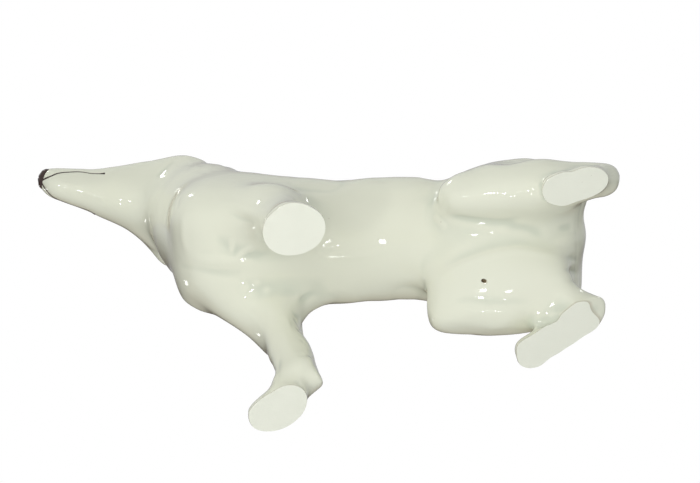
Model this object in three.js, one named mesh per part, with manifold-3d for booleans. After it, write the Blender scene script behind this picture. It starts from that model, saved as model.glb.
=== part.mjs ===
// Porcelain dog figurine, half sitting with its head raised. It is slip-cast in nine parts, which are
// luted together with slip, glazed all over but for the four ground soles, and fired.
// Millimetres, +Z up, the head towards -X, the dog's left side towards -Y, soles flat on z = 0.
import * as THREE from 'three';
import { mergeVertices } from 'three/addons/utils/BufferGeometryUtils.js';
import Module from 'manifold-3d';

const wasm = await Module();
wasm.setup();

// Porcelain wall, seams and the vent hole, which is measured from the middle of the right haunch
const WALL = 3.2;
const LUTING_GAP = 0.3;
const SEAM_MARGIN = 2.5;
const HAUNCH_MARGIN = 4;
const PAW_MARGIN = 10;
const VENT_SIDES = 12;
const VENT_BORE = 2.2;
const VENT_AHEAD = 18.4;
const VENT_INWARDS = 10.5;

// How widely one form runs into the next, from the swell of the flanks down to the edge of a paw
const BLEND = { flank: 14, body: 12, thigh: 10, limb: 8, joint: 6, foot: 4, fine: 2.5 };

// Trunk: a line from the shoulders down to the hips, and the forms on it. A form's place is its share
// of the way along that line, and its lift is the height of its middle above the line.
const TRUNK_LENGTH = 134;
const SHOULDER_HEIGHT = 88;
const HIP_HEIGHT = 46;
const CHEST = { place: 0.28, lift: 9, length: 100, width: 59, depth: 58, pitch: 0 };
const LOIN = { place: 0.65, lift: 4, length: 92, width: 56, depth: 46, pitch: 2 };
const RUMP = { place: 1, lift: 5, length: 56, width: 50, depth: 38, pitch: -7 };
const GROIN = { place: 0.91, lift: -9, length: 78, width: 52, depth: 36, pitch: -6 };
const WITHERS = { place: 0.1, lift: 22, length: 56, width: 50, depth: 38, pitch: 8 };
const BRISKET = { place: 0.13, lift: -4, length: 62, width: 50, depth: 46, pitch: -12 };
const BREAST = { place: 0, lift: 1, length: 38, width: 44, depth: 48, pitch: -17 };

// Neck and mane, from between the shoulders up to the skull
const NECK_SETBACK = 6;
const NECK_LIFT = 16;
const NECK_RISE = 40;
const NECK_REACH = 13;
const NECK_ROOT_RADIUS = 25;
const NECK_TOP_RADIUS = 20;
const NECK_SEAM = 0.42;
const MANE_WIDTH = 56;
const MANE_DEPTH = 46;
const MANE_HEIGHT = 54;

// Head, turned to the dog's left. Its forms are measured from the skull's middle: ahead towards the
// nose, and a drop downwards.
const HEAD_LIFT = 14;
const HEAD_REACH = 9;
const NECK_SHIFT = 2.8;
const HEAD_SHIFT = 1.2;
const HEAD_TURN = 18.5;
const SKULL = { ahead: -3, drop: -1, length: 41, width: 37, height: 34 };
const BROW = { ahead: 8, drop: -7, length: 28, width: 27, height: 17 };
const MUZZLE = { ahead: 13, length: 42, rootRadius: 15.5, tipRadius: 8, rootDrop: 6, tipDrop: 8 };
const JAW = { ahead: 8, setback: 2, rootRadius: 13.5, tipRadius: 6.2, rootDrop: 10, tipDrop: 13 };
const NOSE = { setback: 1.5, drop: 5, length: 7, width: 9, height: 7 };
const CHEEK = { ahead: 0, drop: 6, shift: -1.5, span: 45, length: 36, width: 18, height: 25 };
const RUFF = { ahead: -8, drop: 13, span: 54, rootRadius: 9, tipRadius: 4, rootSpan: 28, rootDrop: 8 };

// Pricked ears, flat from front to back, their mouths turned a little outwards
const EAR_HEIGHT = 29;
const EAR_WIDTH = 23;
const EAR_THICKNESS = 8.5;
const EAR_TIP_RADIUS = 2.4;
const EAR_SPREAD = 24;
const EAR_SETBACK = 9;
const EAR_LEAN = 2;
const EAR_SINK = 4;
const EAR_SPLAY = 6;
const EAR_TURN = 25;

// Shoulder blades, and the forelegs down to their paws. Elbow, wrist and paw of each are measured
// from the shoulders: backwards, and outwards from the dog's middle.
const BLADE = { back: 1, out: 18, lift: 0, length: 42, width: 26, height: 54, pitch: 25 };
const SHOULDER_JOINT = { ahead: 4, out: 13, drop: 6 };
const UPPER_ARM_RADIUS = 13;
const ELBOW_HEIGHT = 60;
const ELBOW_RADIUS = 12.3;
const WRIST_HEIGHT = 18;
const WRIST_RADIUS = 8.4;
const FORE_PAW_LENGTH = 28;
const FORE_PAW_HEIGHT = 12;
const PAW_SINK = 6;
const ANKLE_PLACE = 0.25;
const PAD_SINK = 1.5;
const PAD_ROOT_RADIUS = 6;
const PAD_RADIUS = 4.2;
const PAD_DROP = 6;
const ELBOW_FOLD = { back: 15, inwards: 8, lift: 7, radius: 7.5 };
const LEFT_FORE = {
  elbow: 22, elbowOut: 20, wrist: 27, wristOut: 25,
  paw: 26.5, pawOut: 26.5, pawWidth: 22, turnOut: -11, padTurn: 0,
};
const RIGHT_FORE = {
  elbow: 22, elbowOut: 31, wrist: 28, wristOut: 43,
  paw: 14, pawOut: 52, pawWidth: 19, turnOut: 25, padTurn: 30,
};

// Hind legs, folded under the dog. Knee, hock and toe are measured from the hips, the knee forwards;
// the left foot stands on its toes, and the right one lies flat from heel to toe.
const KNEE_HEIGHT = 31;
const HOCK_RADIUS = 7.5;
const SOLE_HEIGHT = 2.5;
const LEFT_HIND = {
  thigh: -2, thighLength: 64, thighWidth: 26, thighDepth: 52, thighOut: 23,
  knee: 29, kneeOut: 26, kneeRadius: 8.5, hock: 31, hockOut: 33, hockHeight: 15,
  calf: 0.4, calfLength: 64, calfWidth: 23, calfHeight: 28, calfOut: 1,
  toe: 1.5, toeOut: 31, soleLength: 28, soleWidth: 15, heelWidth: 14, turnOut: -18,
};
const RIGHT_HIND = {
  thigh: -6, thighLength: 68, thighWidth: 41, thighDepth: 50, thighOut: 18,
  knee: 37, kneeOut: 25, kneeRadius: 8, hock: 20, hockOut: 21, hockHeight: 9,
  calf: 0.4, calfLength: 70, calfWidth: 38, calfHeight: 26, calfOut: -8,
  toe: -13, toeOut: 43, soleLength: 47, soleWidth: 15, heelWidth: 11.5, turnOut: 32,
};

// Tail, a bushy curl that rises from the end of the rump and rests on the loin
const TAIL_RADIUS = 9;
const TAIL_TIP_RADIUS = 3.5;
const TAIL_SWELL = 4;
const TAIL_SETBACK = 16;
const CURL_RADIUS = 12.5;
const CURL_SWAY = 12;
const CURL_START = -60;
const CURL_END = 225;
const TAIL_JOINTS = 7;

// Facets: the side of a grid cell on each casting, coarser where the form is broad
const CELL = { trunk: 6.7, hollow: 12, head: 4.4, ear: 2.4, foreleg: 4.3, hindLeg: 5.5, tail: 4.7 };

const radians = THREE.MathUtils.degToRad;
const degrees = THREE.MathUtils.radToDeg;
const at = (x, y, z) => new THREE.Vector3(x, y, z);

// A sculpt is a list of forms that run smoothly into each other. Each form has its distance to its own
// surface (negative inside), a middle and a reach that bound it, and the blend that rounds its joints.
function softMin(a, b, blend) {
  const share = Math.max(blend - Math.abs(a - b), 0) / blend;
  return Math.min(a, b) - share * share * blend / 4;
}

function limb(from, fromRadius, to, toRadius, blend) {
  const axis = to.clone().sub(from);
  const lengthSq = axis.lengthSq();
  const taper = fromRadius - toRadius;
  const slantSq = lengthSq - taper * taper;
  const distance = (x, y, z) => {
    const px = x - from.x;
    const py = y - from.y;
    const pz = z - from.z;
    const along = px * axis.x + py * axis.y + pz * axis.z;
    const past = along - lengthSq;
    const sx = px * lengthSq - axis.x * along;
    const sy = py * lengthSq - axis.y * along;
    const sz = pz * lengthSq - axis.z * along;
    const sideSq = sx * sx + sy * sy + sz * sz;
    const alongSq = along * along * lengthSq;
    const pastSq = past * past * lengthSq;
    const cone = Math.sign(taper) * taper * taper * sideSq;
    if (Math.sign(past) * slantSq * pastSq > cone) {
      return Math.sqrt(sideSq + pastSq) / lengthSq - toRadius;
    }
    if (Math.sign(along) * slantSq * alongSq < cone) {
      return Math.sqrt(sideSq + alongSq) / lengthSq - fromRadius;
    }
    return (Math.sqrt(sideSq * slantSq / lengthSq) + along * taper) / lengthSq - fromRadius;
  };
  const middle = from.clone().add(to).multiplyScalar(0.5);
  return { distance, middle, reach: Math.sqrt(lengthSq) / 2 + Math.max(fromRadius, toRadius), blend };
}

// An egg is an ellipsoid of the given length, width and height, turned about Z, then Y, then X
function egg(middle, [length, width, height], blend, [yaw, pitch, roll] = [0, 0, 0]) {
  const turn = new THREE.Euler(radians(roll), radians(pitch), radians(yaw), 'ZYX');
  const m = new THREE.Matrix4().makeRotationFromEuler(turn).transpose().elements;
  const a = length / 2;
  const b = width / 2;
  const c = height / 2;
  const distance = (x, y, z) => {
    const px = x - middle.x;
    const py = y - middle.y;
    const pz = z - middle.z;
    const u = (m[0] * px + m[4] * py + m[8] * pz) / a;
    const v = (m[1] * px + m[5] * py + m[9] * pz) / b;
    const w = (m[2] * px + m[6] * py + m[10] * pz) / c;
    const scaled = Math.hypot(u, v, w);
    const slope = Math.hypot(u / a, v / b, w / c);
    return slope < 1e-9 ? -Math.min(a, b, c) : scaled * (scaled - 1) / slope;
  };
  return { distance, middle, reach: Math.max(a, b, c), blend };
}

// Forms that are laid out in a frame of their own, such as the head's, are set into the dog's
function placed(forms, frame) {
  const m = frame.clone().invert().elements;
  return forms.map((form) => ({
    distance: (x, y, z) => form.distance(
      m[0] * x + m[4] * y + m[8] * z + m[12],
      m[1] * x + m[5] * y + m[9] * z + m[13],
      m[2] * x + m[6] * y + m[10] * z + m[14]),
    middle: form.middle.clone().applyMatrix4(frame),
    reach: form.reach,
    blend: form.blend,
  }));
}

function sculpt(forms) {
  return (x, y, z) => {
    let nearest = Infinity;
    for (const form of forms) {
      const off = Math.hypot(x - form.middle.x, y - form.middle.y, z - form.middle.z) - form.reach;
      if (off < nearest + form.blend) {
        nearest = softMin(nearest, form.distance(x, y, z), form.blend);
      }
    }
    return nearest;
  };
}

// Skeleton: the shoulders stand over x = 0, and everything else hangs on these points
const LEFT = -1;
const RIGHT = 1;
const shoulders = at(0, 0, SHOULDER_HEIGHT);
const hips = at(TRUNK_LENGTH, 0, HIP_HEIGHT);
const slope = degrees(Math.atan2(SHOULDER_HEIGHT - HIP_HEIGHT, TRUNK_LENGTH));
const neckRoot = shoulders.clone().add(at(NECK_SETBACK, 0, NECK_LIFT));
const neckTop = neckRoot.clone().add(at(-NECK_REACH, -NECK_SHIFT, NECK_RISE));
const neckMiddle = neckRoot.clone().lerp(neckTop, 0.5);
const headMiddle = neckTop.clone().add(at(-HEAD_REACH, -HEAD_SHIFT, HEAD_LIFT));
const headFrame = new THREE.Matrix4().makeRotationZ(radians(HEAD_TURN)).setPosition(headMiddle);

// Trunk: ribs, loin, rump, groin, withers, breast and brisket, with the neck and its mane
function trunkEgg(form, blend) {
  const middle = shoulders.clone().lerp(hips, form.place).add(at(0, 0, form.lift));
  return egg(middle, [form.length, form.width, form.depth], blend, [0, slope + form.pitch, 0]);
}
const rump = trunkEgg(RUMP, BLEND.body);
const trunkForms = [
  trunkEgg(CHEST, BLEND.body),
  trunkEgg(LOIN, BLEND.flank),
  rump,
  trunkEgg(GROIN, BLEND.body),
  trunkEgg(WITHERS, BLEND.body),
  trunkEgg(BREAST, BLEND.body),
  trunkEgg(BRISKET, BLEND.body),
  limb(neckRoot, NECK_ROOT_RADIUS, neckTop, NECK_TOP_RADIUS, BLEND.body),
  egg(neckMiddle, [MANE_DEPTH, MANE_WIDTH, MANE_HEIGHT], BLEND.body),
];

// Forelegs: shoulder blade, upper arm, forearm, pastern and paw, the carpal pad behind the wrist, and
// the fold of skin that runs from the elbow to the brisket
const forelegs = [[LEFT, LEFT_FORE], [RIGHT, RIGHT_FORE]].map(([side, stand]) => {
  const joint = SHOULDER_JOINT;
  const shoulder = shoulders.clone().add(at(-joint.ahead, side * joint.out, -joint.drop));
  const blade = shoulders.clone().add(at(BLADE.back, side * BLADE.out, BLADE.lift));
  const elbow = at(stand.elbow, side * stand.elbowOut, ELBOW_HEIGHT);
  const wrist = at(stand.wrist, side * stand.wristOut, WRIST_HEIGHT);
  const paw = at(stand.paw, side * stand.pawOut, 0);
  const turn = -side * stand.turnOut;
  const padTurn = radians(turn + side * stand.padTurn);
  const heel = at(Math.cos(padTurn), Math.sin(padTurn), 0);
  const ankle = paw.clone().lerp(wrist, ANKLE_PLACE).setZ(FORE_PAW_HEIGHT - PAD_RADIUS);
  const pad = wrist.clone().addScaledVector(heel, WRIST_RADIUS - PAD_SINK).setZ(WRIST_HEIGHT - PAD_DROP);
  const fold = elbow.clone().add(at(ELBOW_FOLD.back, -side * ELBOW_FOLD.inwards, ELBOW_FOLD.lift));
  const pawSize = [FORE_PAW_LENGTH, stand.pawWidth, FORE_PAW_HEIGHT + PAW_SINK];
  const forms = [
    egg(blade, [BLADE.length, BLADE.width, BLADE.height], BLEND.limb, [0, BLADE.pitch, 0]),
    limb(shoulder, UPPER_ARM_RADIUS, elbow, ELBOW_RADIUS, BLEND.limb),
    limb(elbow, ELBOW_RADIUS, wrist, WRIST_RADIUS, BLEND.joint),
    limb(wrist, WRIST_RADIUS, ankle, WRIST_RADIUS, BLEND.foot),
    egg(paw.clone().setZ((FORE_PAW_HEIGHT - PAW_SINK) / 2), pawSize, BLEND.foot, [turn, 0, 0]),
    limb(wrist, PAD_ROOT_RADIUS, pad, PAD_RADIUS, BLEND.fine),
    limb(elbow, ELBOW_RADIUS, fold, ELBOW_FOLD.radius, BLEND.limb),
  ];
  return { side, elbow, paw, forms };
});

// Haunches and the folded hind legs: thigh, the calf that swells under it, the shank from knee to hock,
// and the foot on its sole, with a heel of its own width
const hindLegs = [[LEFT, LEFT_HIND], [RIGHT, RIGHT_HIND]].map(([side, stand]) => {
  const thigh = hips.clone().add(at(stand.thigh, side * stand.thighOut, 0));
  const thighSize = [stand.thighLength, stand.thighWidth, stand.thighDepth];
  const knee = at(hips.x - stand.knee, side * stand.kneeOut, KNEE_HEIGHT);
  const hock = at(hips.x + stand.hock, side * stand.hockOut, stand.hockHeight);
  const toe = at(hips.x + stand.toe, side * stand.toeOut, SOLE_HEIGHT);
  const turn = radians(-side * stand.turnOut);
  const rearwards = at(Math.cos(turn), Math.sin(turn), 0);
  const [soleRadius, heelRadius] = [stand.soleWidth / 2, stand.heelWidth / 2];
  const ball = toe.clone().addScaledVector(rearwards, soleRadius);
  const heel = toe.clone().addScaledVector(rearwards, stand.soleLength - heelRadius);
  const footRadius = Math.hypot(soleRadius, SOLE_HEIGHT);
  const heelBall = Math.hypot(heelRadius, SOLE_HEIGHT);
  const calf = knee.clone().lerp(hock, stand.calf).add(at(0, side * stand.calfOut, 0));
  const calfTurn = [degrees(Math.atan2(hock.y - knee.y, hock.x - knee.x)), slope, 0];
  const calfSize = [stand.calfLength, stand.calfWidth, stand.calfHeight];
  const forms = [
    egg(thigh, thighSize, BLEND.limb, [0, slope, 0]),
    egg(calf, calfSize, BLEND.thigh, calfTurn),
    limb(thigh, stand.thighWidth / 2 - WALL / 2, knee, stand.kneeRadius, BLEND.thigh),
    limb(knee, stand.kneeRadius, hock, HOCK_RADIUS, BLEND.limb),
    limb(hock, HOCK_RADIUS, heel, heelBall, BLEND.foot),
    limb(heel, heelBall, ball, footRadius, BLEND.foot),
  ];
  const { kneeRadius } = stand;
  const measures = { thighSize, calfSize, calfTurn, kneeRadius, footRadius };
  return { side, thigh, calf, knee, hock, ball, forms, ...measures };
});

// Head: the skull's middle at the origin of its own frame, the muzzle along -X
const noseTip = MUZZLE.tipRadius - MUZZLE.length - SKULL.length / 2;
const headForms = [
  egg(at(-SKULL.ahead, 0, -SKULL.drop), [SKULL.length, SKULL.width, SKULL.height], BLEND.limb),
  egg(at(-BROW.ahead, 0, -BROW.drop), [BROW.length, BROW.width, BROW.height], BLEND.joint),
  limb(at(-MUZZLE.ahead, 0, -MUZZLE.rootDrop), MUZZLE.rootRadius,
    at(noseTip, 0, -MUZZLE.tipDrop), MUZZLE.tipRadius, BLEND.joint),
  limb(at(-JAW.ahead, 0, -JAW.rootDrop), JAW.rootRadius,
    at(noseTip + JAW.setback, 0, -JAW.tipDrop), JAW.tipRadius, BLEND.foot),
  egg(at(noseTip - MUZZLE.tipRadius + NOSE.setback, 0, -NOSE.drop),
    [NOSE.length, NOSE.width, NOSE.height], BLEND.fine),
];
for (const side of [LEFT, RIGHT]) {
  const cheek = at(-CHEEK.ahead, CHEEK.shift + side * (CHEEK.span - CHEEK.width) / 2, -CHEEK.drop);
  const ruffRoot = at(0, side * RUFF.rootSpan / 2, -RUFF.rootDrop);
  const ruffTip = at(-RUFF.ahead, side * (RUFF.span / 2 - RUFF.tipRadius), -RUFF.drop);
  headForms.push(
    egg(cheek, [CHEEK.length, CHEEK.width, CHEEK.height], BLEND.joint),
    limb(ruffRoot, RUFF.rootRadius, ruffTip, RUFF.tipRadius, BLEND.joint));
}

// Ears: cones flattened front to back, their roots sunk into the back of the skull
const ears = [LEFT, RIGHT].map((side) => {
  const root = at(EAR_SETBACK, side * EAR_SPREAD / 2, SKULL.height / 2 - EAR_SINK);
  const flat = new THREE.Matrix4().makeRotationX(radians(-side * EAR_SPLAY))
    .multiply(new THREE.Matrix4().makeRotationZ(radians(side * EAR_TURN)))
    .scale(at(EAR_THICKNESS / EAR_WIDTH, 1, 1)).setPosition(root);
  const cone = limb(at(0, 0, 0), EAR_WIDTH / 2, at(EAR_LEAN, 0, EAR_HEIGHT), EAR_TIP_RADIUS, BLEND.foot);
  return { side, root, forms: placed([cone], flat) };
});

// Tail: a string of short limbs round the curl, swaying to the dog's right as it comes forward
const tailRoot = rump.middle.clone().add(at(RUMP.length / 2 - TAIL_SETBACK, 0, RUMP.depth / 2));
const curlMiddle = tailRoot.clone().add(at(-CURL_RADIUS / 2, 0, CURL_RADIUS));
const tailJoint = (share) => {
  const angle = radians(THREE.MathUtils.lerp(CURL_START, CURL_END, share));
  const place = at(Math.cos(angle) * CURL_RADIUS, share * CURL_SWAY, Math.sin(angle) * CURL_RADIUS);
  const swell = Math.sin(Math.PI * share) * TAIL_SWELL;
  const radius = THREE.MathUtils.lerp(TAIL_RADIUS, TAIL_TIP_RADIUS, share ** 3) + swell;
  return { place: place.add(curlMiddle), radius };
};
const tailForms = [];
for (let i = 0; i < TAIL_JOINTS; i += 1) {
  const [start, end] = [tailJoint(i / TAIL_JOINTS), tailJoint((i + 1) / TAIL_JOINTS)];
  tailForms.push(limb(start.place, start.radius, end.place, end.radius, BLEND.joint));
}

const bodyForms = [...trunkForms, ...forelegs.flatMap((leg) => leg.forms),
  ...hindLegs.flatMap((leg) => leg.forms), ...placed(headForms, headFrame),
  ...ears.flatMap((ear) => placed(ear.forms, headFrame))];
const body = sculpt(bodyForms);
const tail = sculpt(tailForms);

// Skin of a sculpt inside a box: one point for each piece of surface in a grid cell, drawn onto the
// surface, and one quad across each grid edge that the surface crosses
const corners = Array.from({ length: 8 }, (_, n) => [n & 1, (n >> 1) & 1, (n >> 2) & 1]);
const cellEdges = corners.flatMap((_, n) => [1, 2, 4]
  .filter((step) => !(n & step)).map((step) => [n, n | step]));

function skin(distance, box, cell) {
  const low = box.min.clone().subScalar(cell * 1.5);
  const counts = box.max.clone().sub(low).divideScalar(cell).ceil().addScalar(2);
  const [nx, ny, nz] = counts.toArray();
  const values = new Float64Array(nx * ny * nz);
  const index = (i, j, k) => (k * ny + j) * nx + i;
  for (let k = 0; k < nz; k += 1) {
    for (let j = 0; j < ny; j += 1) {
      for (let i = 0; i < nx; i += 1) {
        const rim = i === 0 || j === 0 || k === 0 || i === nx - 1 || j === ny - 1 || k === nz - 1;
        const value = distance(low.x + i * cell, low.y + j * cell, low.z + k * cell);
        values[index(i, j, k)] = rim ? Math.max(value, cell / 2) : value;
      }
    }
  }
  const points = [];
  const pointOf = new Int32Array(nx * ny * nz * 8).fill(-1);
  const settle = (p) => {
    for (let pass = 0; pass < 3; pass += 1) {
      const step = cell * 0.05;
      const value = distance(p[0], p[1], p[2]);
      const gradient = [0, 1, 2].map((axis) => {
        const ahead = [...p];
        const behind = [...p];
        ahead[axis] += step;
        behind[axis] -= step;
        return (distance(...ahead) - distance(...behind)) / (2 * step);
      });
      const steep = gradient[0] ** 2 + gradient[1] ** 2 + gradient[2] ** 2 || 1;
      const move = THREE.MathUtils.clamp(value, -cell / 3, cell / 3) / steep;
      p.forEach((_, axis) => {
        p[axis] -= gradient[axis] * move;
      });
    }
    return p;
  };
  for (let k = 0; k < nz - 1; k += 1) {
    for (let j = 0; j < ny - 1; j += 1) {
      for (let i = 0; i < nx - 1; i += 1) {
        const cellValues = corners.map(([a, b, c]) => values[index(i + a, j + b, k + c)]);
        const inside = cellValues.map((value) => value < 0);
        if (inside.every(Boolean) || !inside.some(Boolean)) {
          continue;
        }
        const group = inside.map((_, n) => n);
        for (let pass = 0; pass < corners.length; pass += 1) {
          for (const [a, b] of cellEdges) {
            if (inside[a] && inside[b]) {
              group[a] = Math.min(group[a], group[b]);
              group[b] = group[a];
            }
          }
        }
        for (const lead of new Set(group.filter((_, n) => inside[n]))) {
          const sum = [0, 0, 0];
          let crossings = 0;
          for (const [a, b] of cellEdges) {
            if (inside[a] !== inside[b] && group[inside[a] ? a : b] === lead) {
              const share = cellValues[a] / (cellValues[a] - cellValues[b]);
              [0, 1, 2].forEach((axis) => {
                sum[axis] += corners[a][axis] + share * (corners[b][axis] - corners[a][axis]);
              });
              crossings += 1;
            }
          }
          const corner = [low.x + i * cell, low.y + j * cell, low.z + k * cell];
          const point = settle(sum.map((total, axis) => corner[axis] + total / crossings * cell));
          group.forEach((leader, n) => {
            if (inside[n] && leader === lead) {
              pointOf[index(i, j, k) * 8 + n] = points.length;
            }
          });
          points.push(point);
        }
      }
    }
  }
  const triangles = [];
  const span = (a, b) => Math.hypot(points[a][0] - points[b][0], points[a][1] - points[b][1],
    points[a][2] - points[b][2]);
  const quad = (a, b, c, d) => {
    if (span(a, c) <= span(b, d)) {
      triangles.push(a, b, c, a, c, d);
    } else {
      triangles.push(a, b, d, b, c, d);
    }
  };
  for (let k = 0; k < nz - 1; k += 1) {
    for (let j = 0; j < ny - 1; j += 1) {
      for (let i = 0; i < nx - 1; i += 1) {
        for (const [along, u, v] of [[1, 2, 4], [2, 4, 1], [4, 1, 2]]) {
          const [di, dj, dk] = corners[along];
          const here = values[index(i, j, k)] < 0;
          const there = values[index(i + di, j + dj, k + dk)] < 0;
          if (here === there) {
            continue;
          }
          const around = [u | v, v, 0, u].map((back) => {
            const [bi, bj, bk] = [back & 1, (back >> 1) & 1, (back >> 2) & 1];
            const cellIndex = index(i - bi, j - bj, k - bk);
            return pointOf[cellIndex * 8 + (here ? back : back | along)];
          });
          if (here) {
            quad(...around);
          } else {
            quad(...around.reverse());
          }
        }
      }
    }
  }
  return new wasm.Manifold(new wasm.Mesh({
    numProp: 3,
    vertProperties: Float32Array.from(points.flat()),
    triVerts: Uint32Array.from(triangles),
  }));
}

// Cutters are three.js solids, merged to shared corners and without the faces that fold up at a pole
function solidOf(geometry) {
  const bare = geometry.clone();
  bare.deleteAttribute('normal');
  bare.deleteAttribute('uv');
  const merged = mergeVertices(bare, 1e-4);
  const faces = [];
  for (let i = 0; i < merged.index.count; i += 3) {
    const [a, b, c] = [0, 1, 2].map((n) => merged.index.getX(i + n));
    if (a !== b && b !== c && c !== a) {
      faces.push(a, b, c);
    }
  }
  return new wasm.Manifold(new wasm.Mesh({
    numProp: 3,
    vertProperties: Float32Array.from(merged.attributes.position.array),
    triVerts: Uint32Array.from(faces),
  }));
}

// A cone round the line between two points, with flat ends, the wide end at the first
function coneBetween(from, fromRadius, to, toRadius, sides = 18) {
  const line = to.clone().sub(from);
  const cone = new THREE.CylinderGeometry(toRadius, fromRadius, line.length(), sides);
  const turn = new THREE.Quaternion().setFromUnitVectors(at(0, 1, 0), line.normalize());
  cone.applyQuaternion(turn);
  cone.translate(...from.clone().add(to).multiplyScalar(0.5).toArray());
  return solidOf(cone);
}

function roundCutter(middle, size, margin, [yaw, pitch]) {
  const ball = new THREE.SphereGeometry(0.5, 20, 12);
  ball.scale(...size.map((side) => side + 2 * margin));
  ball.rotateY(radians(pitch));
  ball.rotateZ(radians(yaw));
  ball.translate(middle.x, middle.y, middle.z);
  return solidOf(ball);
}

function boundsOf(forms) {
  const box = new THREE.Box3();
  for (const form of forms) {
    box.expandByPoint(form.middle.clone().addScalar(form.reach));
    box.expandByPoint(form.middle.clone().subScalar(form.reach));
  }
  return box;
}
const everything = boundsOf([...bodyForms, ...tailForms]);
const everySize = everything.getSize(at(0, 0, 0)).length();

// Seam regions: each says which part of the body belongs to one casting, and grows by the luting gap.
// The neck's is all that lies above a plane square to the neck.
function headRegion(grow) {
  const block = new THREE.BoxGeometry(everySize, everySize, everySize);
  block.translate(0, 0, everySize / 2 - grow);
  const axis = neckTop.clone().sub(neckRoot).normalize();
  block.applyQuaternion(new THREE.Quaternion().setFromUnitVectors(at(0, 0, 1), axis));
  const seam = neckRoot.clone().lerp(neckTop, NECK_SEAM);
  block.translate(seam.x, seam.y, seam.z);
  return solidOf(block);
}

// An ear is cut off level just above the top of the skull, and its region ends short of the other's
function earRegion(ear, grow) {
  const seam = SKULL.height / 2 - SKULL.drop + SEAM_MARGIN;
  const width = EAR_SPREAD - LUTING_GAP + 2 * grow;
  const block = new THREE.BoxGeometry(EAR_WIDTH * 2, width, EAR_HEIGHT * 2);
  block.translate(ear.root.x, ear.root.y, seam + EAR_HEIGHT - grow);
  block.applyMatrix4(headFrame);
  return solidOf(block);
}

// A foreleg is cut off square just below its elbow
function forelegRegion(leg, grow) {
  const down = leg.paw.clone().sub(leg.elbow).normalize();
  const top = leg.elbow.clone().addScaledVector(down, ELBOW_RADIUS / 3 - grow);
  const foot = leg.paw.clone().addScaledVector(down, FORE_PAW_HEIGHT);
  return coneBetween(top, ELBOW_RADIUS + SEAM_MARGIN + grow, foot, FORE_PAW_LENGTH / 2 + PAW_MARGIN + grow);
}

// A hind leg takes its whole haunch with it: eggs round the thigh and the calf, cones from the thigh to
// the knee and to the hock, one round the shank, and one that widens down to the table round the foot
function hindLegRegion(leg, grow) {
  const haunch = roundCutter(leg.thigh, leg.thighSize, HAUNCH_MARGIN + grow, [0, slope]);
  const calf = roundCutter(leg.calf, leg.calfSize, HAUNCH_MARGIN + grow, leg.calfTurn);
  const kneeRadius = leg.kneeRadius + HAUNCH_MARGIN + grow;
  const thighRadius = leg.thighSize[1] / 2 + SEAM_MARGIN + grow;
  const thigh = coneBetween(leg.thigh, thighRadius, leg.knee, kneeRadius);
  const fold = coneBetween(leg.thigh, thighRadius, leg.hock, HOCK_RADIUS + grow);
  const ahead = leg.kneeRadius + 2 * SEAM_MARGIN;
  const behind = HOCK_RADIUS + 2 * SEAM_MARGIN;
  const shank = coneBetween(leg.knee.clone().add(at(-ahead, 0, 0)), kneeRadius,
    leg.hock.clone().add(at(behind, 0, 0)), behind + grow);
  const spread = leg.hock.distanceTo(leg.ball) / 2 + leg.footRadius + 2 * SEAM_MARGIN + grow;
  const top = leg.hock.clone().lerp(leg.ball, 0.5).setZ(behind);
  const foot = coneBetween(top, spread, top.clone().setZ(-behind), spread + SEAM_MARGIN);
  return haunch.add(calf).add(thigh).add(fold).add(shank).add(foot);
}

// The soles are ground flat where the dog stands on the table
const table = new THREE.BoxGeometry(everySize * 2, everySize * 2, everySize);
table.translate(0, 0, -everySize / 2);
const belowTable = solidOf(table);

// The hollow that the drained slip leaves runs through trunk, neck, skull and haunches
const hollowForms = [...trunkForms, ...hindLegs.flatMap((leg) => leg.forms.slice(0, 2)),
  placed(headForms, headFrame)[0]];
const hollowSculpt = sculpt(hollowForms);
const hollow = skin((x, y, z) => hollowSculpt(x, y, z) + WALL, boundsOf(hollowForms), CELL.hollow);

// A casting keeps its largest piece: crumbs that a seam cuts off belong to its neighbour
function largest(solid) {
  return solid.decompose().sort((a, b) => b.volume() - a.volume())[0];
}

function casting(region, cell) {
  const { min, max } = region.boundingBox();
  const box = new THREE.Box3(at(...min), at(...max)).intersect(everything).expandByScalar(cell);
  return skin(body, box, cell).intersect(region).subtract(belowTable);
}

const [leftForeleg, rightForeleg] = forelegs;
const [leftHind, rightHind] = hindLegs;
const [leftEar, rightEar] = ears;
const leftHindRegion = (grow) => hindLegRegion(leftHind, grow);
const rightHindRegion = (grow) => hindLegRegion(rightHind, grow).subtract(leftHindRegion(LUTING_GAP));
const neighbours = [headRegion, ...forelegs.map((leg) => (grow) => forelegRegion(leg, grow)),
  leftHindRegion, rightHindRegion];
const trunk = neighbours.reduce((solid, region) => solid.subtract(region(LUTING_GAP)),
  skin(body, everything, CELL.trunk).subtract(hollow));
const head = casting(headRegion(0), CELL.head).subtract(hollow)
  .subtract(earRegion(leftEar, LUTING_GAP)).subtract(earRegion(rightEar, LUTING_GAP));

// The vent hole runs straight up through the underside of the right haunch into the hollow
const ventTop = rightHind.thigh.clone().add(at(-VENT_AHEAD, -VENT_INWARDS, 0));
const vent = coneBetween(ventTop, VENT_BORE / 2, ventTop.clone().setZ(0), VENT_BORE / 2, VENT_SIDES);

// The tail is cut to the rump that it stands on, with room for the slip
const seat = new THREE.Box3().setFromCenterAndSize(rump.middle, at(3, 2, 3).multiplyScalar(RUMP.length));
const rumpSkin = skin((x, y, z) => body(x, y, z) - 1.5 * LUTING_GAP, seat, CELL.tail);

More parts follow.
